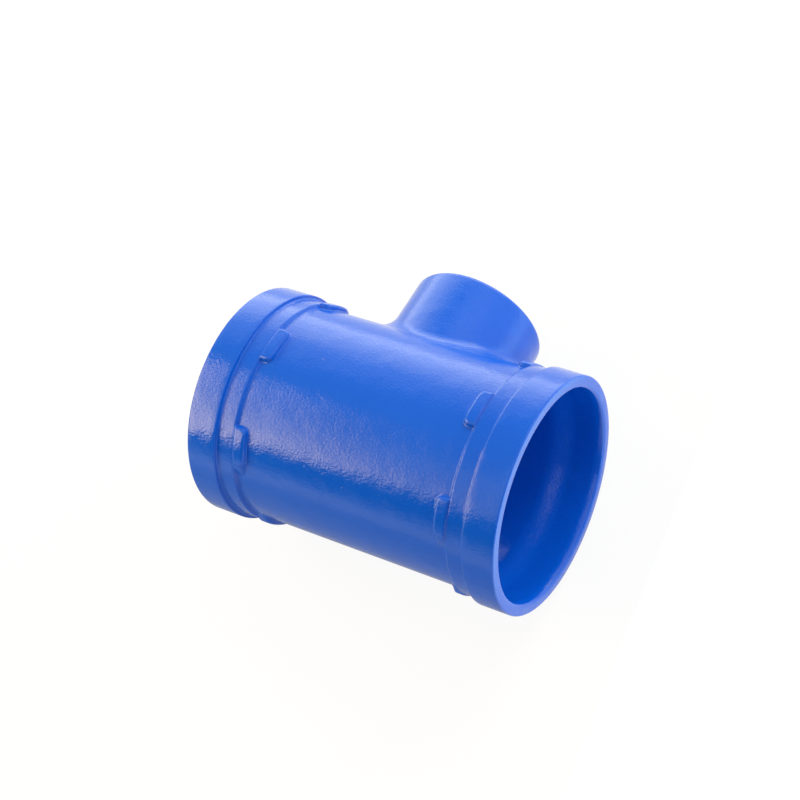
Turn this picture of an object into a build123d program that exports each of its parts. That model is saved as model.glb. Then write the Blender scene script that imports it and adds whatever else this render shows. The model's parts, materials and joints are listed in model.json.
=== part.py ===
"""A grooved reducing tee: a short cast run with a grooved end each side and a smaller round outlet boss.

The run lies along X and the origin is where its axis meets the outlet's axis. The tee rests on the lips at
the two run ends and on the rim of the outlet boss, so the outlet dips below the horizontal on the +Y side.
All sizes are in millimetres and all angles in degrees. +Z is up.
"""

import math
import os

from build123d import *

os.makedirs("parts", exist_ok=True)

# Run ends
PIPE_OD = 114.3
HALF_RUN = 82.5
LIP_WIDTH = 15.88
GROOVE_WIDTH = 9.5
GROOVE_DEPTH = 2.11
LIP_EDGE_ROUND = 0.75
GROOVE_ROOT_ROUND = 1.3
END_EDGE_ROUND = 0.9

# Cast body between the grooves
BODY_OD = 106.3
BODY_STEP_ROUND = 0.6
BODY_WALL = 4.6

# Inside of the run
END_BORE = 102.6
END_BORE_DEPTH = 17.0
TAPER_LENGTH = 8.0

# Outlet boss
BOSS_OD = 69.0
BOSS_REACH = 82.5
BOSS_EDGE_ROUND = 2.5
BOSS_ROOT_ROUND = 8.0
OUTLET_BORE = 56.6
OUTLET_DEPTH = 24.0
OUTLET_CHAMFER = 1.5
OUTLET_WATERWAY = 51.0
WATERWAY_ROUND = 2.0

# Locating lugs beside each groove
LUG_OD = 111.8
LUG_LENGTH = 7.0
LUG_OVER_GROOVE = 0.8
LUG_ARC = 20.0
LUG_FIRST_ANGLE = 35.0
LUG_PITCH = 55.0
LUGS_EACH_SIDE = 3
LUG_CORNER_ROUND = 3.0
LUG_EDGE_ROUND = 1.6

pipe_r = PIPE_OD / 2
floor_r = pipe_r - GROOVE_DEPTH
body_r = BODY_OD / 2
end_bore_r = END_BORE / 2
run_bore_r = body_r - BODY_WALL
lug_r = LUG_OD / 2
lip_x = HALF_RUN - LIP_WIDTH
groove_x = lip_x - GROOVE_WIDTH
boss_r = BOSS_OD / 2


def corner_at(face, x, y):
    """The one corner of a flat profile that lies at x, y."""
    return face.vertices().sort_by_distance((x, y, 0))[0]


def round_corner(face, x, y, radius):
    """The profile with the corner at x, y rounded."""
    return fillet(corner_at(face, x, y), radius)


def run_profile():
    """Half section of the outside of the run, from its axis outwards."""
    points = [
        (-HALF_RUN, 0),
        (-HALF_RUN, pipe_r),
        (-lip_x, pipe_r),
        (-lip_x, floor_r),
        (-groove_x, floor_r),
        (-groove_x, body_r),
        (groove_x, body_r),
        (groove_x, floor_r),
        (lip_x, floor_r),
        (lip_x, pipe_r),
        (HALF_RUN, pipe_r),
        (HALF_RUN, 0),
    ]
    face = make_face(Polyline(*points, close=True))
    for side in (-1, 1):
        face = round_corner(face, side * HALF_RUN, pipe_r, END_EDGE_ROUND)
        face = round_corner(face, side * lip_x, pipe_r, LIP_EDGE_ROUND)
        face = round_corner(face, side * lip_x, floor_r, GROOVE_ROOT_ROUND)
        face = round_corner(face, side * groove_x, floor_r, BODY_STEP_ROUND)
        face = round_corner(face, side * groove_x, body_r, BODY_STEP_ROUND)
    return face


def bore_profile():
    """Half section of the space inside the run: wide at the ends, narrower in the middle."""
    shoulder_x = HALF_RUN - END_BORE_DEPTH
    throat_x = shoulder_x - TAPER_LENGTH
    flare = END_EDGE_ROUND
    points = [
        (-HALF_RUN, 0),
        (-HALF_RUN, end_bore_r + flare),
        (-HALF_RUN + flare, end_bore_r),
        (-shoulder_x, end_bore_r),
        (-throat_x, run_bore_r),
        (throat_x, run_bore_r),
        (shoulder_x, end_bore_r),
        (HALF_RUN - flare, end_bore_r),
        (HALF_RUN, end_bore_r + flare),
        (HALF_RUN, 0),
    ]
    return make_face(Polyline(*points, close=True))


def boss_profile():
    """Half section of the solid outlet boss, drawn with its axis along Y."""
    points = [(0, 0), (boss_r, 0), (boss_r, BOSS_REACH), (0, BOSS_REACH)]
    face = make_face(Polyline(*points, close=True))
    return round_corner(face, boss_r, BOSS_REACH, BOSS_EDGE_ROUND)


def socket_profile():
    """Half section of the socket at the outlet's mouth, drawn with its axis along Y."""
    socket_r = OUTLET_BORE / 2
    points = [
        (0, BOSS_REACH - OUTLET_DEPTH),
        (socket_r, BOSS_REACH - OUTLET_DEPTH),
        (socket_r, BOSS_REACH - OUTLET_CHAMFER),
        (socket_r + OUTLET_CHAMFER, BOSS_REACH),
        (0, BOSS_REACH),
    ]
    return make_face(Polyline(*points, close=True))


def make_body():
    """The plain run barrel and the boss, blended at the root."""
    barrel = Rot(0, 90, 0) * Cylinder(body_r, 2 * groove_x)
    boss = revolve(boss_profile(), Axis.Y)
    joined = barrel + boss
    root = [e for e in joined.edges() if 1.0 < e.center().Y < BOSS_REACH - BOSS_EDGE_ROUND - 1.0]
    root = [e for e in root if abs(e.center().X) < groove_x - 1.0 and e.length > boss_r]
    return fillet(root, BOSS_ROOT_ROUND)


def lug_wall(corner_angle, outward):
    """The end wall of a lug, in a section across the run, from its top corner to a place deep inside the run.

    Angles are from the outlet's direction, which is the section's X. The mould parts in the plane of both axes
    and is drawn square to it. A wall that would be undercut along a radius is made along the draw instead, down
    past the parting plane, so it slopes towards that plane. The run's bore later takes away what lies inside.
    """
    across = math.cos(math.radians(corner_angle))
    along = math.sin(math.radians(corner_angle))
    corner = (lug_r * across, lug_r * along)
    if outward * across > 0:
        return corner, (corner[0] / 2, corner[1] / 2)
    return corner, (corner[0], -BODY_WALL / 2)


def make_lug(side, flip, angle):
    """One raised pad on the body beside the groove of one end. It reaches a little way over the groove's floor."""
    first_corner, first_end = lug_wall(angle - LUG_ARC / 2, -1)
    last_corner, last_end = lug_wall(angle + LUG_ARC / 2, 1)
    middle = (lug_r * math.cos(math.radians(angle)), lug_r * math.sin(math.radians(angle)))
    top = ThreePointArc(first_corner, middle, last_corner)
    sides = Polyline(last_corner, last_end, first_end, first_corner)
    start_x = groove_x + LUG_OVER_GROOVE - LUG_LENGTH
    across_run = Plane(origin=(start_x, 0, 0), x_dir=(0, 1, 0), z_dir=(1, 0, 0))
    pad = extrude(across_run * make_face(Curve() + [top, sides]), LUG_LENGTH)
    rear = [e for e in pad.edges().filter_by(GeomType.LINE) if abs(e.center().X - start_x) < 0.01]
    corners = [e for e in rear if max(math.hypot(v.Y, v.Z) for v in e.vertices()) > lug_r - 0.01]
    pad = fillet(corners, LUG_CORNER_ROUND)
    upper = [e for e in pad.edges() if math.hypot(e.center().Y, e.center().Z) > lug_r * 0.98]
    pad = fillet(upper, LUG_EDGE_ROUND)
    if side < 0:
        pad = mirror(pad, Plane.YZ)
    if flip < 0:
        pad = mirror(pad, Plane.XY)
    return pad


def rest_angle():
    """How far the outlet dips for its rim to reach the level of the lips."""
    reach = BOSS_REACH - BOSS_EDGE_ROUND
    half = boss_r - BOSS_EDGE_ROUND
    drop = pipe_r - BOSS_EDGE_ROUND
    return math.degrees(math.asin(drop / math.hypot(reach, half)) - math.atan2(half, reach))


tee = make_body() + revolve(run_profile(), Axis.X)
for side in (-1, 1):
    for flip in (-1, 1):
        for index in range(LUGS_EACH_SIDE):
            tee += make_lug(side, flip, LUG_FIRST_ANGLE + index * LUG_PITCH)

tee -= revolve(bore_profile(), Axis.X)
tee -= Rot(-90, 0, 0) * Cylinder(OUTLET_WATERWAY / 2, BOSS_REACH, align=(Align.CENTER, Align.CENTER, Align.MIN))

# The mouth of the outlet waterway inside the run is eased
mouth = [e for e in tee.edges() if abs(e.center().X) < OUTLET_WATERWAY / 2 and e.length > OUTLET_WATERWAY]
mouth = [e for e in mouth if OUTLET_WATERWAY / 4 < e.center().Y < run_bore_r + 0.5]
tee = fillet(mouth, WATERWAY_ROUND)
tee -= revolve(socket_profile(), Axis.Y)

tee = Rot(-rest_angle(), 0, 0) * tee
tee.label = "tee_body"
export_step(tee, "parts/tee_body.step")
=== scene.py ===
"""The look of a painted grooved reducing tee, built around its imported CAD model.

The casting is one closed surface worked out from the tee's own sizes. In the tee's section frame the run
lies along X and the outlet points along +Y. The last step turns that frame about the run, because the tee
rests on its two lips and on the outlet's rim. Lengths are in metres and angles in degrees, unless a name
says otherwise.
"""

import json
import math

import bmesh
import bpy
import numpy as np
from mathutils import Matrix


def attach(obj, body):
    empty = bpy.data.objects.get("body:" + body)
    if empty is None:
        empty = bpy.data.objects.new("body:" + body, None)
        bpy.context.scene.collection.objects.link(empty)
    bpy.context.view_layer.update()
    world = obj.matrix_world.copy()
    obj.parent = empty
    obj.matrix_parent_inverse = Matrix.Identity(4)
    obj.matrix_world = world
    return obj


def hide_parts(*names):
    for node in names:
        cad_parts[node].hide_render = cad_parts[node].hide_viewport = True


bl_info = {
    "name": "Painted Reducing Tee",
    "version": (1, 0, 0),
    "blender": (4, 5, 0),
    "location": "3D View > Sidebar > Tee",
    "description": "Builds the casting, the paint and the studio of a grooved reducing tee",
    "category": "Add Mesh",
}

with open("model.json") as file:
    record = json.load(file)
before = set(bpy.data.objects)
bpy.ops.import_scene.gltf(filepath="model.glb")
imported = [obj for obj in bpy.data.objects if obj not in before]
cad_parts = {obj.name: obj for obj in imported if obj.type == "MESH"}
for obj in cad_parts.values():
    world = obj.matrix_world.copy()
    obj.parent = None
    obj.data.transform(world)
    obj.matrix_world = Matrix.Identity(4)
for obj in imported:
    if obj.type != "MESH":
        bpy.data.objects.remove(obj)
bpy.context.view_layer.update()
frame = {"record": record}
MM = 0.001
MOUNTS = {mount["name"]: mount for mount in frame["record"]["mounts"]}


def mount_radius(name):
    """The radius that the record gives for a round mount, in metres."""
    return MOUNTS[name]["dims"]["r_mm"] * MM


PIPE_RADIUS = mount_radius("run_lip_a")
RUN_BORE_RADIUS = mount_radius("run_waterway")
SOCKET_RADIUS = mount_radius("outlet_socket")
HALF_RUN = MOUNTS["run_face_a"]["pos_m"][0]
OUTLET_AXIS = MOUNTS["outlet_socket"]["axis"]
OUTLET_DIP = math.atan2(-OUTLET_AXIS[2], OUTLET_AXIS[1])
BOSS_REACH = math.hypot(*MOUNTS["outlet_face"]["pos_m"][1:])

# The window in the run's grid that the outlet's blend fills: its half length and its half angle
OUTER_WINDOW = (46.0 * MM, 47.0)
INNER_WINDOW = (31.0 * MM, 36.0)
OUTER_WINDOW_COLUMNS = 46

# Half a turn of the run's rows: the angle where a stretch ends and how many rows it has. The rows are close
# together where a lug ends and where the outlet's blend starts.
ROW_STRETCHES = (
    (16.5, 9), (19.0, 5), (23.5, 3), (26.5, 6), (36.0, 5), (41.5, 3), (43.2, 4), (46.5, 10), (47.0, 1),
    (78.0, 18), (82.0, 13), (98.0, 9), (102.0, 13), (133.5, 18), (136.8, 10), (138.5, 4), (154.0, 8),
    (156.0, 4), (161.0, 3), (163.5, 5), (180.0, 9),
)

# How many steps the outlet's rings take, outside from the window to the boss's rim and inside to the socket
SADDLE_STEPS = 8
BLEND_STEPS = 12
BOSS_STEPS = 8
INNER_SADDLE_STEPS = 6
INNER_BLEND_STEPS = 5
WATERWAY_STEPS = 5
TAPER_POINTS = 13

# How high the flare at a run end rises, as a share of its length
FLARE_RISE = 1.3

# Keeps a lug's drawn wall finite near a quarter turn from the outlet, where the cosine comes to nothing
LEAST_COSINE = 0.05

# How far apart two angles may lie and still count as the same
ANGLE_MARGIN = 1e-6

# How much waves and specks add to the paint film's height, beside a peel of weight 1
WAVE_WEIGHT = 2.0
SPECK_WEIGHT = 2.0

# How far the paint's roughness wanders about its mean, as a share of it
GLOSS_SPREAD = 0.2

SENSOR_WIDTH_MM = 36.0
MAT_HEIGHT = 0.5 * MM
WHITE = (1.0, 1.0, 1.0)


# Curves and grids


def smooth_step(low, high, value):
    """A ramp from 0 at low to 1 at high: t squared times (3 - 2 t)."""
    t = np.clip((value - low) / (high - low), 0.0, 1.0)
    return t * t * (3.0 - 2.0 * t)


def smooth_max(a, b, width):
    """The larger of two surfaces, blended where they are nearer than width.

    There (width - gap) squared / (4 width) is added.
    """
    width = np.maximum(width, 1e-9)
    gap = np.clip(width - np.abs(a - b), 0.0, None)
    return np.maximum(a, b) + gap * gap / (4.0 * width)


def smooth_min(a, b, width):
    """The smaller of two surfaces, with the blend of smooth_max turned over."""
    return -smooth_max(-a, -b, width)


def arc(centre, radius, start, end, steps):
    """Points on a circle's arc: centre + radius (cos, sin), from the start angle to the end angle."""
    angles = np.radians(np.linspace(start, end, steps + 1))
    return np.column_stack((centre[0] + radius * np.cos(angles), centre[1] + radius * np.sin(angles)))


def straight(start, end, steps):
    """The inner points of a straight stretch cut in equal steps, without its two ends."""
    share = np.linspace(0.0, 1.0, steps + 1)[1:-1, None]
    return np.asarray(start) * (1.0 - share) + np.asarray(end) * share


def row_angles():
    """The angles of the run's rows: half a turn from ROW_STRETCHES, then the same rows mirrored back."""
    half = [0.0]
    for end, count in ROW_STRETCHES:
        half.extend(np.linspace(half[-1], end, count + 1)[1:])
    half = np.array(half)
    return np.concatenate((half, -half[-2:0:-1]))


def band(ring_a, ring_b):
    """Quads between two closed rings of as many vertices."""
    return np.column_stack((ring_a, np.roll(ring_a, -1), np.roll(ring_b, -1), ring_b))


def halving_band(dense, sparse):
    """Triangles between a closed ring and one of half as many vertices: three for each pair of edges."""
    first, middle, last = dense[0::2], dense[1::2], np.roll(dense, -2)[0::2]
    near, far = sparse, np.roll(sparse, -1)
    return np.concatenate((
        np.column_stack((first, middle, near)),
        np.column_stack((middle, far, near)),
        np.column_stack((middle, last, far)),
    ))


class Surface:
    """The vertices and faces of one closed surface, gathered patch by patch."""

    def __init__(self):
        self.points = []
        self.faces = []
        self.count = 0

    def add_points(self, x, y, z):
        """Adds a grid of points and returns their numbers in the grid's own layout."""
        points = np.stack(np.broadcast_arrays(x, y, z), axis=-1)
        self.points.append(points.reshape(-1, 3))
        numbers = self.count + np.arange(points[..., 0].size).reshape(points.shape[:-1])
        self.count += numbers.size
        return numbers

    def add_faces(self, faces):
        """Adds an array of quads or of triangles, given by vertex number."""
        self.faces.append(faces)

    def join_rings(self, rings):
        """Adds the quads between each closed ring and the next."""
        for first, second in zip(rings[:-1], rings[1:]):
            self.add_faces(band(first, second))

    def join_grid(self, numbers, keep):
        """Adds the quads of a grid whose rows close on themselves. keep says which cells are there."""
        below = np.roll(numbers, -1, axis=0)
        cells = np.stack((numbers[:, :-1], numbers[:, 1:], below[:, 1:], below[:, :-1]), axis=-1)
        self.add_faces(cells[keep].reshape(-1, 4))

    def to_mesh(self, name):
        """The mesh of all faces and the points that they use, with every face pointing outwards."""
        points = np.concatenate(self.points)
        corners = np.concatenate([faces.ravel() for faces in self.faces])
        used, numbers = np.unique(corners, return_inverse=True)
        cuts = np.cumsum([faces.size for faces in self.faces])[:-1]
        faces = []
        for old, new in zip(self.faces, np.split(numbers.ravel(), cuts)):
            faces.extend(new.reshape(old.shape).tolist())
        mesh = bpy.data.meshes.new(name)
        mesh.from_pydata(points[used].tolist(), [], faces)
        shell = bmesh.new()
        shell.from_mesh(mesh)
        bmesh.ops.recalc_face_normals(shell, faces=shell.faces)
        shell.to_mesh(mesh)
        shell.free()
        mesh.validate()
        return mesh


# The casting's form


def step_place(sizes):
    """x of the step between the body and the groove's floor."""
    return HALF_RUN - sizes.lip_width - sizes.groove_width


def lug_rear(sizes):
    """x of a lug's end away from the groove."""
    return step_place(sizes) + sizes.lug_over_groove - sizes.lug_length


def outer_profile(sizes):
    """Half section of the run's outside as (x, radius) points from mid-run to the end face.

    The points follow the body, the step up to the groove's floor, the groove's root, the lip and the end's
    edge, and end in a ring on the end face, outside the flare. The step is two arcs and a straight line at
    the step's slope, its middle where the groove's floor starts. The body's points are close together where a
    lug's side comes down to it.
    """
    body, pipe = sizes.body_radius, PIPE_RADIUS
    floor = pipe - sizes.groove_depth
    lip, step, rear = HALF_RUN - sizes.lip_width, step_place(sizes), lug_rear(sizes)
    soft, root, edge, end = sizes.step_round, sizes.root_round, sizes.lip_round, sizes.end_round
    slope = math.radians(sizes.step_slope)
    rise = floor - body - 2.0 * soft * (1.0 - math.cos(slope))
    half_step = soft * math.sin(slope) + rise / (2.0 * math.tan(slope))
    floor_start = step + 1.7 * half_step
    side_start, side_end = rear - 0.3 * sizes.lug_wall_width, rear + 0.75 * sizes.lug_wall_width
    window = OUTER_WINDOW[0]
    return np.concatenate((
        [(0.0, body)],
        straight((0.0, body), (window, body), OUTER_WINDOW_COLUMNS // 2),
        [(window, body)],
        straight((window, body), (side_start, body), 3),
        [(side_start, body)],
        straight((side_start, body), (side_end, body), 18),
        [(side_end, body)],
        straight((side_end, body), (step - half_step, body), 6),
        arc((step - half_step, body + soft), soft, -90.0, sizes.step_slope - 90.0, 5),
        arc((step + half_step, floor - soft), soft, 90.0 + sizes.step_slope, 90.0, 5),
        straight((step + half_step, floor), (floor_start, floor), 3),
        [(floor_start, floor)],
        straight((floor_start, floor), (lip - root, floor), 6),
        arc((lip - root, floor + root), root, -90.0, 0.0, 5),
        arc((lip + edge, pipe - edge), edge, 180.0, 90.0, 5),
        straight((lip + edge, pipe), (HALF_RUN - end, pipe), 5),
        arc((HALF_RUN - end, pipe - end), end, 90.0, 0.0, 6),
        [(HALF_RUN, sizes.end_bore_radius + 2.0 * FLARE_RISE * end)],
    ))


def inner_profile(sizes, window_columns):
    """Half section of the run's inside as (x, radius) points from mid-run to the end face.

    The taper is a smooth step whose soft ends reach a little beyond the taper itself. The flare at the end
    face steepens towards it.
    """
    bore, mouth, flare, ease = RUN_BORE_RADIUS, sizes.end_bore_radius, sizes.end_round, sizes.taper_ease
    shoulder = HALF_RUN - sizes.end_bore_depth
    throat = shoulder - sizes.taper_length
    window = INNER_WINDOW[0]
    pitch = 2.0 * window / window_columns
    first = pitch / 2.0 if window_columns % 2 else 0.0
    in_window = np.arange(first, window - pitch / 2.0, pitch)
    share = np.linspace(0.0, 1.0, TAPER_POINTS)
    taper_x = throat - ease + (shoulder - throat + 2.0 * ease) * share
    taper = np.column_stack((taper_x, bore + (mouth - bore) * smooth_step(0.0, 1.0, share)))
    return np.concatenate((
        np.column_stack((in_window, np.full(len(in_window), bore))),
        [(window, bore)],
        straight((window, bore), (throat - ease, bore), 4),
        taper,
        straight((shoulder + ease, mouth), (HALF_RUN - flare, mouth), 3),
        [(HALF_RUN - flare, mouth), (HALF_RUN - 0.6 * flare, mouth + 0.3 * flare)],
        [(HALF_RUN - 0.2 * flare, mouth + 0.75 * flare), (HALF_RUN, mouth + FLARE_RISE * flare)],
    ))


def socket_profile(sizes):
    """Half section of the outlet's end as (radius, y) points.

    They lead from the boss's side over its rim and chamfer, and down the socket to the waterway's edge.
    """
    rim, chamfer, soft = sizes.boss_edge_round, sizes.socket_chamfer, sizes.socket_round
    boss, socket, water = sizes.boss_radius, SOCKET_RADIUS, sizes.waterway_radius
    shoulder = BOSS_REACH - sizes.socket_depth
    return np.concatenate((
        arc((boss - rim, BOSS_REACH - rim), rim, 0.0, 90.0, 7),
        [(socket + chamfer + soft, BOSS_REACH), (socket + chamfer, BOSS_REACH - 0.1 * soft)],
        [(socket + 0.2 * soft, BOSS_REACH - chamfer), (socket, BOSS_REACH - chamfer - soft)],
        straight((socket, BOSS_REACH - chamfer - soft), (socket, shoulder + soft), 4),
        [(socket, shoulder + soft), (socket - 0.1 * soft, shoulder)],
        [(water + soft, shoulder), (water, shoulder - 0.5 * soft)],
    ))


def mirror_profile(half):
    """The section from end to end: the half section, and before it the same points with x turned over."""
    other = half[::-1] * (-1.0, 1.0)
    if half[0, 0] == 0.0:
        other = other[:-1]
    return np.concatenate((other, half))


def lug_side(sizes, distance):
    """Height of a lug beside its top, against the distance outwards from its outline.

    A round top edge, a steep straight wall and a round foot follow each other: a circle's arc down to the
    wall's slope, a straight line at that slope, and a circle's arc that ends level with the body.
    """
    slope = math.radians(sizes.lug_wall_slope)
    top, foot, height = sizes.lug_edge_round, sizes.lug_foot_round, sizes.lug_height
    top_drop, foot_rise = top * (1.0 - math.cos(slope)), foot * (1.0 - math.cos(slope))
    run = (height - top_drop - foot_rise) / math.tan(slope)
    start = -top * math.sin(slope) - run / 2.0
    wall = start + top * math.sin(slope)
    end = wall + run + foot * math.sin(slope)
    on_top = np.clip(distance - start, 0.0, top * math.sin(slope))
    on_foot = np.clip(end - distance, 0.0, foot * math.sin(slope))
    round_top = np.sqrt(top**2 - on_top**2) - top
    line = -top_drop - (distance - wall) * math.tan(slope)
    round_foot = -height + foot - np.sqrt(foot**2 - on_foot**2)
    return np.where(distance < wall, round_top, np.where(distance < wall + run, line, round_foot))


def lug_heights(sizes, x, angle):
    """Radius of the lugs' surface over the run at x and an angle from the outlet. Elsewhere it is the body's.

    A lug's outline is a rectangle on the unrolled body, with round corners away from the groove and sharper
    ones at it. The ends that face the parting plane of both axes follow the mould's draw: there the radius is
    a height above the plane through the run, square to the outlet, divided by the cosine of the angle. Such a
    lug is widened by half its arc on that side first, so that the drawn wall is what ends it.
    """
    top = sizes.body_radius + sizes.lug_height
    rear = lug_rear(sizes)
    along, turn = np.abs(x), np.abs(angle)
    half_length, half_arc = sizes.lug_length / 2.0, sizes.lug_arc / 2.0
    surface = np.full(np.broadcast(x, angle).shape, sizes.body_radius)
    draw_reach = top * math.cos(math.radians(sizes.lug_first_angle - half_arc))
    corner = sizes.lug_corner_round
    past_rear = np.clip(corner - (along - rear), 0.0, corner)
    draw_plane = draw_reach - corner + np.sqrt(corner**2 - past_rear**2)
    draw = draw_plane / np.maximum(np.abs(np.cos(np.radians(turn))), LEAST_COSINE)
    for index in range(sizes.lugs_each_side):
        middle = sizes.lug_first_angle + index * sizes.lug_pitch
        low, high = middle - half_arc, middle + half_arc
        drawn_below, drawn_above = high < 90.0, low > 90.0
        low -= half_arc if drawn_below else 0.0
        high += half_arc if drawn_above else 0.0
        across = np.radians(turn - (low + high) / 2.0) * top
        half_width = math.radians((high - low) / 2.0) * top
        lengthwise = along - (rear + half_length)
        round_here = np.where(lengthwise < 0.0, corner, sizes.lug_front_round)
        out_x = np.abs(lengthwise) - half_length + round_here
        out_y = np.abs(across) - half_width + round_here
        outline = np.minimum(np.maximum(out_x, out_y), 0.0) - round_here
        outline = outline + np.hypot(np.maximum(out_x, 0.0), np.maximum(out_y, 0.0))
        height = top + lug_side(sizes, outline)
        if drawn_below or drawn_above:
            height = smooth_min(height, draw, sizes.lug_foot_round)
        surface = np.maximum(surface, height)
    return surface


def blend_ring(turns, boss, run, fillet):
    """Where a ball between the boss and the run touches both, for angles round the outlet.

    The ball's centre lies a fillet radius off both cylinders: x = (boss + fillet) cos t, z = (boss + fillet)
    sin t and y = square root of ((run + fillet) squared - z squared). It touches the boss straight towards
    the outlet's axis and the run straight towards the run's axis.
    """
    centre_x = (boss + fillet) * np.cos(turns)
    centre_z = (boss + fillet) * np.sin(turns)
    centre_y = np.sqrt((run + fillet) ** 2 - centre_z**2)
    centre = np.stack((centre_x, centre_y, centre_z), axis=-1)
    on_boss = np.stack((boss * np.cos(turns), centre_y, boss * np.sin(turns)), axis=-1)
    share = run / (run + fillet)
    on_run = np.stack((centre_x, centre_y * share, centre_z * share), axis=-1)
    return centre, on_boss, on_run


def blend_rings(surface, turns, boss, run, fillet, steps):
    """Rings of a rolling-ball blend from the run up to the boss, in even steps about the ball's centre.

    Between the two touching directions the ray turns evenly: sin((1 - s) a) start + sin(s a) end, over sin a.
    """
    centre, on_boss, on_run = blend_ring(turns, boss, run, fillet)
    start, end = (on_run - centre) / fillet, (on_boss - centre) / fillet
    opening = np.arccos(np.clip((start * end).sum(-1, keepdims=True), -1.0, 1.0))
    rings = []
    for share in np.linspace(0.0, 1.0, steps + 1):
        ray = (np.sin((1.0 - share) * opening) * start + np.sin(share * opening) * end) / np.sin(opening)
        rings.append(surface.add_points(*(centre + fillet * ray).T))
    return rings


def window_border(numbers, columns, rows):
    """The vertex numbers round a window of a grid, as one closed ring, with their column and row numbers.

    The ring goes up the side at +x, back along the top, down the side at -x and forward along the bottom.
    """
    first, last = columns
    low, high = rows
    count = numbers.shape[0]
    span = (high - low) % count
    up = [(last, (low + k) % count) for k in range(span)]
    back = [(k, high) for k in range(last, first, -1)]
    down = [(first, (high - k) % count) for k in range(span)]
    forth = [(k, low) for k in range(first, last)]
    ring = np.array(up + back + down + forth)
    return numbers[ring[:, 1], ring[:, 0]], ring[:, 0], ring[:, 1]


def saddle_rings(surface, border_x, border_angle, turns, boss, run, fillet, steps):
    """Rings on the run's cylinder from a window's border to the blend: straight steps in x and in angle."""
    on_run = blend_ring(turns, boss, run, fillet)[2]
    end_x, end_angle = on_run[:, 0], np.degrees(np.arctan2(on_run[:, 2], on_run[:, 1]))
    rings = []
    for share in np.linspace(0.0, 1.0, steps + 1)[1:-1]:
        x = border_x + (end_x - border_x) * share
        angle = np.radians(border_angle + (end_angle - border_angle) * share)
        rings.append(surface.add_points(x, run * np.cos(angle), run * np.sin(angle)))
    return rings


def border_turns(border_x, border_angle, boss, run, fillet):
    """The angle round the outlet that each point of a window's border leads to, and then never turns back."""
    reach = boss + fillet
    widest = math.degrees(math.asin(reach / (run + fillet)))
    return np.unwrap(np.arctan2(border_angle * reach / widest, border_x))


def tube_rings(surface, radius, turns, even, start, end, shares):
    """Rings along a tube about the outlet's axis, from uneven to even angles and from one height to another.

    Each lies at a share of the way: x = radius cos t, y = height, z = radius sin t.
    """
    rings = []
    for share in shares:
        lean = turns + (even - turns) * share
        height = start + (end - start) * share
        rings.append(surface.add_points(radius * np.cos(lean), height, radius * np.sin(lean)))
    return rings


def round_rings(surface, profile, turns):
    """Rings about the outlet's axis through (radius, y) points: x = radius cos t, z = radius sin t."""
    return [surface.add_points(radius * np.cos(turns), y, radius * np.sin(turns)) for radius, y in profile]


def build_run(surface, profile, angles, window, radius_of):
    """One side of the run: a grid of the profile's points turned to every row's angle, less its window.

    x is the profile's x, and radius_of gives the radius at each x and angle. y and z are the radius times the
    angle's cosine and sine. It returns the grid's numbers and the window's first and last column and row.
    """
    turn = np.radians(angles)[:, None]
    radius = radius_of(profile[None, :, 0], profile[None, :, 1], angles[:, None])
    numbers = surface.add_points(profile[None, :, 0], radius * np.cos(turn), radius * np.sin(turn))
    columns = [int(np.argmin(np.abs(profile[:, 0] - side * window[0]))) for side in (-1, 1)]
    rows = [int(np.argmin(np.abs(angles - side * window[1]))) for side in (-1, 1)]
    cell_x = (profile[:-1, 0] + profile[1:, 0])[None, :] / 2.0
    next_angles = np.roll(angles, -1)
    widest = window[1] + ANGLE_MARGIN
    near = (np.abs(angles) <= widest) & (np.abs(next_angles) <= widest)
    keep = ~(near[:, None] & (np.abs(cell_x) < window[0]))
    surface.join_grid(numbers, keep)
    return numbers, columns, rows


def add_outside(surface, sizes, angles):
    """Adds the run's outside with its lugs, a saddle and a blend up to the boss, and the boss and its socket.

    It returns the run's grid, the socket's last ring and the even angles of that ring's points.
    """
    body, boss, fillet = sizes.body_radius, sizes.boss_radius, sizes.boss_root_round

    def radius_of(x, radius, angle):
        lugs = lug_heights(sizes, x, angle)
        width = sizes.lug_floor_round * smooth_step(0.0, sizes.lug_foot_round, lugs - body)
        return smooth_max(np.broadcast_to(radius, lugs.shape), lugs, width)

    profile = mirror_profile(outer_profile(sizes))
    grid, columns, rows = build_run(surface, profile, angles, OUTER_WINDOW, radius_of)
    border, border_columns, border_rows = window_border(grid, columns, rows)
    border_x, border_angle = profile[border_columns, 0], angles[border_rows]
    turns = border_turns(border_x, border_angle, boss, body, fillet)
    even = turns[0] + np.linspace(0.0, 2.0 * math.pi, len(turns) + 1)[:-1]
    saddle = saddle_rings(surface, border_x, border_angle, turns, boss, body, fillet, SADDLE_STEPS)
    blend = blend_rings(surface, turns, boss, body, fillet, BLEND_STEPS)
    root = blend_ring(turns, boss, body, fillet)[1][:, 1]
    shares = np.linspace(0.0, 1.0, BOSS_STEPS + 1)[1:-1]
    side = tube_rings(surface, boss, turns, even, root, BOSS_REACH - sizes.boss_edge_round, shares)
    socket = round_rings(surface, socket_profile(sizes), even)
    surface.join_rings([border] + saddle + blend + side + socket)
    return grid, socket[-1], even


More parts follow.
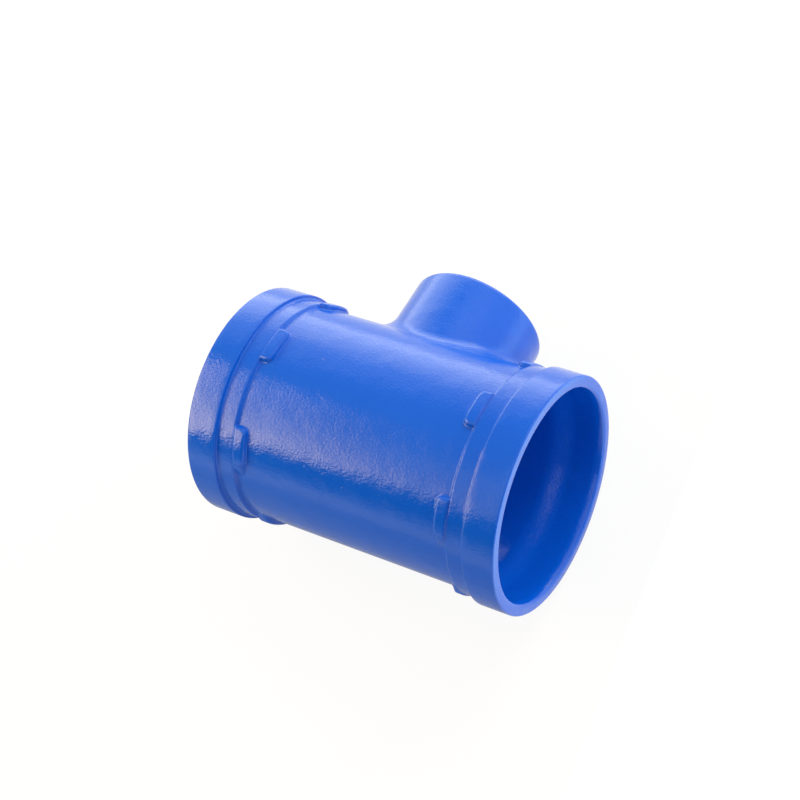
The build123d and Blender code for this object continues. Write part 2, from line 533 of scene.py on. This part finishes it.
def add_inside(surface, sizes, angles, even):
    """Adds the run's inside, a saddle and a blend into the waterway, and the waterway up to the socket.

    Its rings have half as many points as the outside's. It returns the run's grid and the last ring.
    """
    bore, water, ease = RUN_BORE_RADIUS, sizes.waterway_radius, sizes.waterway_round

    def radius_of(x, radius, angle):
        return np.broadcast_to(radius, np.broadcast(x, angle).shape)

    window_rows = 2 * int(np.sum((angles > ANGLE_MARGIN) & (angles <= INNER_WINDOW[1])))
    profile = mirror_profile(inner_profile(sizes, len(even) // 2 - window_rows))
    grid, columns, rows = build_run(surface, profile, angles, INNER_WINDOW, radius_of)
    border, border_columns, border_rows = window_border(grid, columns, rows)
    border_x, border_angle = profile[border_columns, 0], angles[border_rows]
    turns = border_turns(border_x, border_angle, water, bore, ease)
    saddle = saddle_rings(surface, border_x, border_angle, turns, water, bore, ease, INNER_SADDLE_STEPS)
    blend = blend_rings(surface, turns, water, bore, ease, INNER_BLEND_STEPS)
    root = blend_ring(turns, water, bore, ease)[1][:, 1]
    end = BOSS_REACH - sizes.socket_depth - 3.0 * sizes.socket_round
    shares = np.linspace(0.0, 1.0, WATERWAY_STEPS + 1)[1:]
    tube = tube_rings(surface, water, turns, even, root, end, shares)
    surface.join_rings([border] + saddle + blend + tube)
    return grid, tube[-1]


def casting_mesh(sizes):
    """The whole casting, in the section frame: its outside, its inside and the two end faces between them."""
    surface = Surface()
    angles = row_angles()
    outer_grid, socket_end, even = add_outside(surface, sizes, angles)
    inner_grid, waterway_end = add_inside(surface, sizes, angles[0::2], even[0::2])
    surface.add_faces(halving_band(socket_end, waterway_end))
    for column in (0, -1):
        surface.add_faces(halving_band(outer_grid[:, column], inner_grid[:, column]))
    return surface.to_mesh("tee_casting")


def settle(mesh):
    """Turns the section frame about the run by the outlet's dip, so that the tee stands as it rests."""
    points = np.empty(len(mesh.vertices) * 3, np.float32)
    mesh.vertices.foreach_get("co", points)
    points = points.reshape(-1, 3)
    c, s = math.cos(OUTLET_DIP), math.sin(OUTLET_DIP)
    x, y, z = points.T
    turned = np.column_stack((x, c * y + s * z, c * z - s * y))
    mesh.vertices.foreach_set("co", turned.astype(np.float32).ravel())
    mesh.update()


# Nodes


def add_node(tree, kind, **values):
    """A node of that kind, with its attributes and its inputs set by name.

    Two underscores in a name stand for a space.
    """
    node = tree.nodes.new(kind)
    for name, value in values.items():
        if hasattr(node, name):
            setattr(node, name, value)
        else:
            node.inputs[name.replace("__", " ")].default_value = value
    return node


def link(tree, output, target):
    """Joins an output to an input."""
    tree.links.new(output, target)


def clear_tree(owner):
    """The emptied node tree of a material or a world."""
    owner.use_nodes = True
    owner.node_tree.nodes.clear()
    return owner.node_tree


def add_weighted(tree, value, weight, rest):
    """value times weight, plus rest."""
    total = add_node(tree, "ShaderNodeMath", operation="MULTIPLY_ADD")
    total.inputs[1].default_value = weight
    link(tree, value, total.inputs[0])
    link(tree, rest, total.inputs[2])
    return total.outputs[0]


def skin_group():
    """Node group of a brushed or sprayed paint film: orange peel, slow waves and a few trapped specks.

    Peel is fine noise, waves are coarse noise, and a speck is where the distance to a scattered point is
    under a small radius. It puts out one height and a slow tone for the colour.
    """
    group = bpy.data.node_groups.new("paint_film", "ShaderNodeTree")
    face = group.interface
    inputs = {"Peel Scale": 850.0, "Wave Scale": 110.0, "Speck Scale": 60.0, "Speck Size": 0.035}
    for name, default in inputs.items():
        face.new_socket(name=name, in_out="INPUT", socket_type="NodeSocketFloat").default_value = default
    for name in ("Height", "Tone"):
        face.new_socket(name=name, in_out="OUTPUT", socket_type="NodeSocketFloat")
    start = add_node(group, "NodeGroupInput")
    end = add_node(group, "NodeGroupOutput")
    place = add_node(group, "ShaderNodeTexCoord")
    peel = add_node(group, "ShaderNodeTexNoise", Detail=3.5, Roughness=0.5)
    wave = add_node(group, "ShaderNodeTexNoise", Detail=1.0, Roughness=0.45)
    tone = add_node(group, "ShaderNodeTexNoise", Scale=22.0, Detail=2.0, Roughness=0.5)
    dots = add_node(group, "ShaderNodeTexVoronoi", feature="F1")
    for node in (peel, wave, tone, dots):
        link(group, place.outputs["Object"], node.inputs["Vector"])
    link(group, start.outputs["Peel Scale"], peel.inputs["Scale"])
    link(group, start.outputs["Wave Scale"], wave.inputs["Scale"])
    link(group, start.outputs["Speck Scale"], dots.inputs["Scale"])
    reach = add_node(group, "ShaderNodeMath", operation="DIVIDE")
    link(group, dots.outputs["Distance"], reach.inputs[0])
    link(group, start.outputs["Speck Size"], reach.inputs[1])
    speck = add_node(
        group, "ShaderNodeMapRange", interpolation_type="SMOOTHSTEP", From__Min=1.0, From__Max=0.3
    )
    link(group, reach.outputs[0], speck.inputs["Value"])
    film = add_weighted(group, wave.outputs["Fac"], WAVE_WEIGHT, peel.outputs["Fac"])
    height = add_weighted(group, speck.outputs["Result"], SPECK_WEIGHT, film)
    link(group, height, end.inputs["Height"])
    link(group, tone.outputs["Fac"], end.inputs["Tone"])
    return group


def paint_material(look):
    """Glossy blue enamel: a deep and a lighter blue mixed by the film's tone, over an orange-peel bump."""
    material = bpy.data.materials.new("blue_enamel")
    tree = clear_tree(material)
    output = add_node(tree, "ShaderNodeOutputMaterial")
    shader = add_node(tree, "ShaderNodeBsdfPrincipled", IOR=look.ior)
    film = add_node(tree, "ShaderNodeGroup", node_tree=skin_group())
    colour = add_node(tree, "ShaderNodeMix", data_type="RGBA")
    colour.inputs["A"].default_value = (*look.deep_colour, 1.0)
    colour.inputs["B"].default_value = (*look.light_colour, 1.0)
    link(tree, film.outputs["Tone"], colour.inputs["Factor"])
    link(tree, colour.outputs["Result"], shader.inputs["Base Color"])
    least, most = look.roughness * (1.0 - GLOSS_SPREAD), look.roughness * (1.0 + GLOSS_SPREAD)
    gloss = add_node(tree, "ShaderNodeMapRange", To__Min=least, To__Max=most)
    link(tree, film.outputs["Tone"], gloss.inputs["Value"])
    link(tree, gloss.outputs["Result"], shader.inputs["Roughness"])
    bump = add_node(tree, "ShaderNodeBump", Distance=look.peel_depth, Strength=1.0)
    link(tree, film.outputs["Height"], bump.inputs["Height"])
    link(tree, bump.outputs["Normal"], shader.inputs["Normal"])
    link(tree, shader.outputs["BSDF"], output.inputs["Surface"])
    return material


def seen_directly(tree):
    """1 where the camera, a reflection or a clear piece sees the surface, 0 where it only lights others."""
    path = add_node(tree, "ShaderNodeLightPath")
    seen = add_node(tree, "ShaderNodeMath", operation="MAXIMUM")
    seen_through = add_node(tree, "ShaderNodeMath", operation="MAXIMUM")
    link(tree, path.outputs["Is Camera Ray"], seen.inputs[0])
    link(tree, path.outputs["Is Glossy Ray"], seen.inputs[1])
    link(tree, seen.outputs[0], seen_through.inputs[0])
    link(tree, path.outputs["Is Transmission Ray"], seen_through.inputs[1])
    return seen_through.outputs[0]


def mix_shaders(tree, share, first, second, output):
    """Ends a tree in a mix of two shaders, the second by the share."""
    mix = add_node(tree, "ShaderNodeMixShader")
    link(tree, share, mix.inputs[0])
    link(tree, first.outputs[0], mix.inputs[1])
    link(tree, second.outputs[0], mix.inputs[2])
    link(tree, mix.outputs[0], output.inputs["Surface"])


# Studio


def axes_matrix(right, up, back, place):
    """The matrix at a place whose X, Y and Z axes are right, up and back."""
    rows = np.eye(4)
    rows[:3] = np.column_stack((right, up, back, place))
    return Matrix(rows.tolist())


def photo_axes(studio):
    """The camera's right, down and forward axes, and the turn that brings the photo's frame to the tee's."""
    azimuth, elevation = math.radians(studio.azimuth), math.radians(studio.elevation)
    level = math.cos(elevation)
    forward = np.array((-math.sin(azimuth) * level, math.cos(azimuth) * level, -math.sin(elevation)))
    right = np.array((math.cos(azimuth), math.sin(azimuth), 0.0))
    down = np.cross(forward, right)
    turn = math.radians(studio.outlet_rise) + OUTLET_DIP
    c, s = math.cos(turn), math.sin(turn)
    to_tee = np.array(((1.0, 0.0, 0.0), (0.0, c, s), (0.0, -s, c)))
    return right, down, forward, to_tee


def make_camera(studio):
    """A camera at the photograph's place, back from the run's middle and a little up and aside."""
    right, down, forward, to_tee = photo_axes(studio)
    eye = -(right * studio.aside + down * studio.lower + forward * studio.distance) * PIPE_RADIUS
    camera_data = bpy.data.cameras.new("photo_camera")
    camera_data.sensor_width = SENSOR_WIDTH_MM
    camera_data.lens = studio.lens
    camera = bpy.data.objects.new("photo_camera", camera_data)
    camera.matrix_world = axes_matrix(to_tee @ right, to_tee @ -down, to_tee @ -forward, to_tee @ eye)
    bpy.context.scene.collection.objects.link(camera)
    bpy.context.scene.camera = camera


def make_board(name, matrix, width, height):
    """A flat rectangle of the studio, in the XY plane of the matrix, with its material's emptied tree."""
    x, y = width / 2.0, height / 2.0
    mesh = bpy.data.meshes.new(name)
    mesh.from_pydata([(-x, -y, 0.0), (x, -y, 0.0), (x, y, 0.0), (-x, y, 0.0)], [], [(0, 1, 2, 3)])
    board = bpy.data.objects.new(name, mesh)
    board.matrix_world = matrix
    bpy.context.scene.collection.objects.link(board)
    material = bpy.data.materials.new(name)
    mesh.materials.append(material)
    return board, clear_tree(material)


def make_floor(studio):
    """A wide pale floor under the tee, seen as plain white less the tee's shadow."""
    side = 2.0 * studio.floor_half_size
    floor, tree = make_board("studio_floor", Matrix.Translation((0.0, 0.0, -PIPE_RADIUS)), side, side)
    output = add_node(tree, "ShaderNodeOutputMaterial")
    lit = add_node(tree, "ShaderNodeBsdfDiffuse", Color=(*studio.floor_colour, 1.0))
    glow = add_node(tree, "ShaderNodeEmission", Strength=studio.floor_glow)
    share = add_node(tree, "ShaderNodeMath", operation="MULTIPLY")
    share.inputs[1].default_value = studio.floor_glow_share
    link(tree, seen_directly(tree), share.inputs[0])
    mix_shaders(tree, share.outputs[0], lit, glow, output)


def make_world(studio):
    """A pale even sky for the light, and plain white where the camera or a reflection sees it."""
    world = bpy.data.worlds.new("studio_sky")
    bpy.context.scene.world = world
    tree = clear_tree(world)
    output = add_node(tree, "ShaderNodeOutputWorld")
    light = add_node(tree, "ShaderNodeBackground", Strength=studio.sky_strength)
    light.inputs["Color"].default_value = (*studio.sky_colour, 1.0)
    white = add_node(tree, "ShaderNodeBackground", Color=(*WHITE, 1.0), Strength=1.0)
    mix_shaders(tree, seen_directly(tree), light, white, output)


def from_direction(azimuth, elevation, distance):
    """A place at a distance from the origin. Azimuth 0 is in front, towards -Y, and turns towards +X."""
    a, e = math.radians(azimuth), math.radians(elevation)
    level = distance * math.cos(e)
    return np.array((level * math.sin(a), -level * math.cos(a), distance * math.sin(e)))


def facing_tee(azimuth, elevation, distance, roll=0.0):
    """The matrix of a lamp or card that faces the run's middle, turned by roll in its own plane."""
    place = from_direction(azimuth, elevation, distance)
    back = place / np.linalg.norm(place)
    side = np.cross((0.0, 0.0, 1.0), back)
    side = side / np.linalg.norm(side)
    matrix = axes_matrix(side, np.cross(back, side), back, place)
    return matrix @ Matrix.Rotation(math.radians(roll), 4, "Z")


def lying_at(x, y):
    """The matrix of a mat whose middle lies at x and y, just over the floor."""
    return Matrix.Translation((x, y, MAT_HEIGHT - PIPE_RADIUS))


def make_lamp(name, matrix, width, height, colour, power):
    """A rectangular soft lamp. It shows neither to the camera nor in the paint."""
    data = bpy.data.lights.new(name, "AREA")
    data.shape = "RECTANGLE"
    data.size, data.size_y = width, height
    data.energy, data.color = power, colour
    lamp = bpy.data.objects.new(name, data)
    lamp.matrix_world = matrix
    lamp.visible_camera = False
    lamp.visible_glossy = False
    bpy.context.scene.collection.objects.link(lamp)


def make_card(name, matrix, width, height, colour, low, high=None, fade=(0.0, 1.0), lights=True):
    """A glowing card for the paint to reflect.

    Its strength is low up to the first share of its height in fade, then changes evenly and is high from the
    second share on. Only reflections show it. A card that lights nothing also casts no shadow: it stands for
    a darker wall.
    """
    card, tree = make_board(name, matrix, width, height)
    card.visible_camera = False
    card.visible_transmission = False
    card.visible_diffuse = lights
    card.visible_shadow = lights
    output = add_node(tree, "ShaderNodeOutputMaterial")
    glow = add_node(tree, "ShaderNodeEmission", Color=(*colour, 1.0))
    place = add_node(tree, "ShaderNodeTexCoord")
    split = add_node(tree, "ShaderNodeSeparateXYZ")
    level = add_node(
        tree, "ShaderNodeMapRange", To__Min=low, To__Max=low if high is None else high,
        From__Min=height * (fade[0] - 0.5), From__Max=height * (fade[1] - 0.5),
    )
    link(tree, place.outputs["Object"], split.inputs[0])
    link(tree, split.outputs["Y"], level.inputs["Value"])
    link(tree, level.outputs["Result"], glow.inputs["Strength"])
    link(tree, glow.outputs[0], output.inputs["Surface"])


def make_lights(studio):
    """The two lamps, the cards behind and beside the tee, and the bright mat past its near end."""
    make_lamp(
        "back_softbox", facing_tee(azimuth=156.0, elevation=42.0, distance=0.9), width=0.5, height=0.5,
        colour=studio.pale_colour, power=studio.back_power,
    )
    make_lamp(
        "side_softbox", facing_tee(azimuth=95.0, elevation=8.0, distance=0.9), width=0.5, height=0.25,
        colour=studio.pale_colour, power=studio.side_power,
    )
    make_card(
        "rear_card", facing_tee(azimuth=-158.0, elevation=8.0, distance=0.36), width=0.60, height=0.24,
        colour=studio.pale_colour, low=studio.rear_strength, high=studio.rear_strength / 2.0,
    )
    make_card(
        "window_card", facing_tee(azimuth=-64.0, elevation=42.5, distance=0.8, roll=-18.0), width=0.80,
        height=0.54, colour=studio.window_colour, low=studio.window_strength, high=0.5, fade=(0.3, 1.0),
    )
    make_card(
        "bright_mat", lying_at(x=0.30, y=0.12), width=0.36, height=0.6, colour=studio.mat_colour,
        low=studio.mat_strength,
    )
    make_card(
        "dark_side", facing_tee(azimuth=85.0, elevation=20.0, distance=1.0), width=1.1, height=0.9,
        colour=WHITE, low=0.25,
    )


def make_dark_walls():
    """The darker walls, the small flag past the far end and the grey mat, which only the paint sees."""
    make_card(
        "dark_ceiling", facing_tee(azimuth=-130.0, elevation=62.0, distance=1.0), width=1.1, height=0.75,
        colour=WHITE, low=0.4, lights=False,
    )
    make_card(
        "dark_wall", facing_tee(azimuth=2.0, elevation=24.0, distance=0.9), width=2.0, height=0.62,
        colour=WHITE, low=0.8, high=0.03, fade=(0.0, 0.36), lights=False,
    )
    make_card(
        "far_flag", facing_tee(azimuth=-90.0, elevation=0.0, distance=0.20), width=0.16, height=0.11,
        colour=WHITE, low=0.02, lights=False,
    )
    make_card(
        "grey_mat", lying_at(x=-0.28, y=-0.26), width=0.7, height=0.56, colour=WHITE, low=0.42, lights=False,
    )


# What a user may change


def size(name, description, default_mm):
    """A length property. The value given is in millimetres."""
    return bpy.props.FloatProperty(
        name=name, description=description, default=default_mm * MM, unit="LENGTH", precision=5, min=0.0
    )


def number(name, description, default, **more):
    """A plain number property."""
    return bpy.props.FloatProperty(name=name, description=description, default=default, **more)


def colour(name, description, default):
    """A colour property."""
    return bpy.props.FloatVectorProperty(
        name=name, description=description, default=default, subtype="COLOR", size=3, min=0.0, max=1.0
    )


class TeeSizes(bpy.types.PropertyGroup):
    """Sizes of the casting that the record's mounts don't give."""

    lip_width: size("Lip width", "Length of the plain lip outside the groove", 15.88)
    groove_width: size("Groove width", "Length of the groove's floor between its two walls", 9.5)
    groove_depth: size("Groove depth", "How far the groove's floor lies below the lip", 2.11)
    lip_round: size("Lip round", "Radius of the lip's edge at the groove", 0.75)
    root_round: size("Root round", "Radius of the groove's root at the lip", 1.3)
    end_round: size("End round", "Radius of the lip's edge at the end face", 0.9)
    body_radius: size("Body radius", "Outside radius of the body between the grooves", 53.15)
    step_round: size("Step round", "Radius of the paint-filled step beside each groove", 1.0)
    step_slope: number("Step slope", "Slope of the step beside each groove in degrees", 60.0)
    end_bore_radius: size("End bore radius", "Radius of the wide hole at each end", 51.3)
    end_bore_depth: size("End bore depth", "Depth of the wide hole at each end", 17.0)
    taper_length: size("Taper length", "Length over which the hole narrows", 8.0)
    taper_ease: size("Taper ease", "How far the taper's soft ends reach beyond it", 3.0)
    boss_radius: size("Boss radius", "Outside radius of the outlet boss", 34.5)
    boss_edge_round: size("Boss edge round", "Radius of the boss's rim", 2.5)
    boss_root_round: size("Boss root round", "Radius of the blend between the boss and the body", 10.0)
    socket_depth: size("Socket depth", "Depth of the outlet's socket", 24.0)
    socket_chamfer: size("Socket chamfer", "Chamfer at the socket's mouth", 1.5)
    socket_round: size("Socket round", "Radius of the edges in the socket", 0.4)
    waterway_radius: size("Waterway radius", "Radius of the hole from the socket to the run", 25.5)
    waterway_round: size("Waterway round", "Radius of the waterway's edge in the run", 2.0)
    lug_height: size("Lug height", "How far a lug stands above the body", 2.75)
    lug_length: size("Lug length", "Length of a lug along the run", 7.0)
    lug_over_groove: size("Lug over groove", "How far a lug reaches over the groove's floor", 0.8)
    lug_corner_round: size("Lug corner round", "Radius of a lug's corners away from the groove", 3.0)
    lug_front_round: size("Lug front round", "Radius of a lug's corners over the groove", 0.45)
    lug_edge_round: size("Lug edge round", "Radius of a lug's top edge", 1.6)
    lug_foot_round: size("Lug foot round", "Radius of the paint-filled corner at a lug's foot", 0.7)
    lug_floor_round: size("Lug floor round", "Width of the blend between a lug and the groove's floor", 0.4)
    lug_wall_width: size("Lug wall width", "Width of the fine mesh kept for a lug's side", 2.5)
    lug_wall_slope: number("Lug wall slope", "Slope of a lug's side in degrees", 75.0)
    lug_first_angle: number("First lug angle", "Angle from the outlet to the first lug in degrees", 35.0)
    lug_pitch: number("Lug pitch", "Angle from one lug to the next in degrees", 55.0)
    lug_arc: number("Lug arc", "Angle that a lug's top spans in degrees", 20.0)
    lugs_each_side: bpy.props.IntProperty(
        name="Lugs each side", description="Lugs on each side of an end", default=3
    )


class PaintLook(bpy.types.PropertyGroup):
    """Colour and gloss of the paint."""

    deep_colour: colour("Deep colour", "The paint's colour where the film is thick", (0.001, 0.080, 0.53))
    light_colour: colour("Light colour", "The paint's colour where the film is thin", (0.002, 0.092, 0.58))
    roughness: number("Roughness", "Roughness of the paint film", 0.12, min=0.0, max=1.0)
    ior: number("Index of refraction", "Index of refraction of the paint film", 1.5)
    peel_depth: size("Peel depth", "Depth of the orange peel", 0.13)


class StudioLook(bpy.types.PropertyGroup):
    """Camera, floor, sky, lamps and cards."""

    azimuth: number("Azimuth", "The camera's angle round the photo's upright, from -Y towards +X", 31.7)
    elevation: number("Elevation", "The camera's angle above the photo's level", 30.8)
    outlet_rise: number("Outlet rise", "How far the outlet points above the photo's level", 24.1)
    aside: number("Aside", "How far the run's middle lies right of the view's middle, in lip radii", -0.006)
    lower: number("Lower", "How far the run's middle lies below the view's middle, in lip radii", 0.381)
    distance: number("Distance", "Distance of the run's middle along the view, in lip radii", 14.14)
    lens: number("Lens", "Focal length in millimetres on a 36 mm sensor", 76.5)
    floor_half_size: size("Floor half size", "Half the floor's side", 6000.0)
    floor_colour: colour("Floor colour", "Colour of the floor", (0.82, 0.82, 0.82))
    floor_glow: number("Floor glow", "Strength of the white that the camera sees on the floor", 1.0)
    floor_glow_share: number("Floor glow share", "Share of plain white in what shows of the floor", 0.9)
    sky_colour: colour("Sky colour", "Colour of the sky's light", (1.0, 1.0, 1.0))
    sky_strength: number("Sky strength", "Strength of the sky's light", 0.63)
    pale_colour: colour("Pale colour", "Colour of the lamps and of the rear card", (1.0, 1.0, 0.86))
    window_colour: colour("Window colour", "Colour of the window card", (1.0, 0.76, 0.45))
    mat_colour: colour("Mat colour", "Colour of the bright mat", (0.8, 1.0, 0.95))
    back_power: number("Back power", "Power of the back softbox in watts", 4.9)
    side_power: number("Side power", "Power of the side softbox in watts", 3.0)
    rear_strength: number("Rear strength", "Strength of the rear card's lower edge", 3.6)
    window_strength: number("Window strength", "Strength of the window card's lower part", 7.9)
    mat_strength: number("Mat strength", "Strength of the bright mat", 1.9)


# Operators


class TEE_OT_casting(bpy.types.Operator):
    """Build the painted casting in place of its CAD solid"""

    bl_idname = "tee.casting"
    bl_label = "Build the casting"

    def execute(self, context):
        mesh = casting_mesh(context.scene.tee_sizes)
        settle(mesh)
        mesh.polygons.foreach_set("use_smooth", np.ones(len(mesh.polygons), bool))
        casting = bpy.data.objects.new("tee_casting", mesh)
        context.scene.collection.objects.link(casting)
        mesh.materials.append(paint_material(context.scene.tee_paint))
        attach(casting, "root")
        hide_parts("tee_body")
        return {"FINISHED"}


class TEE_OT_studio(bpy.types.Operator):
    """Build the camera, the floor, the sky, the lamps and the cards"""

    bl_idname = "tee.studio"
    bl_label = "Build the studio"

    def execute(self, context):
        studio = context.scene.tee_studio
        make_camera(studio)
        make_floor(studio)
        make_world(studio)
        make_lights(studio)
        make_dark_walls()
        context.scene.view_settings.view_transform = "Standard"
        return {"FINISHED"}


class TEE_PT_panel(bpy.types.Panel):
    """Lists the tee's operators and their settings"""

    bl_label = "Reducing Tee"
    bl_idname = "TEE_PT_panel"
    bl_space_type = "VIEW_3D"
    bl_region_type = "UI"
    bl_category = "Tee"

    def draw(self, context):
        scene = context.scene
        for operator, settings in ((TEE_OT_casting, scene.tee_sizes), (TEE_OT_studio, scene.tee_studio)):
            self.layout.operator(operator.bl_idname)
            for name in settings.__annotations__:
                self.layout.prop(settings, name)
        for name in scene.tee_paint.__annotations__:
            self.layout.prop(scene.tee_paint, name)


CLASSES = (TeeSizes, PaintLook, StudioLook, TEE_OT_casting, TEE_OT_studio, TEE_PT_panel)


def register():
    """Registers the classes and puts their settings on the scene."""
    for item in CLASSES:
        bpy.utils.register_class(item)
    bpy.types.Scene.tee_sizes = bpy.props.PointerProperty(type=TeeSizes)
    bpy.types.Scene.tee_paint = bpy.props.PointerProperty(type=PaintLook)
    bpy.types.Scene.tee_studio = bpy.props.PointerProperty(type=StudioLook)


def unregister():
    """Takes the settings off the scene and unregisters the classes."""
    del bpy.types.Scene.tee_sizes, bpy.types.Scene.tee_paint, bpy.types.Scene.tee_studio
    for item in reversed(CLASSES):
        bpy.utils.unregister_class(item)


def main():
    """Builds the whole scene."""
    register()
    bpy.ops.tee.casting()
    bpy.ops.tee.studio()


if __name__ == "__main__":
    main()
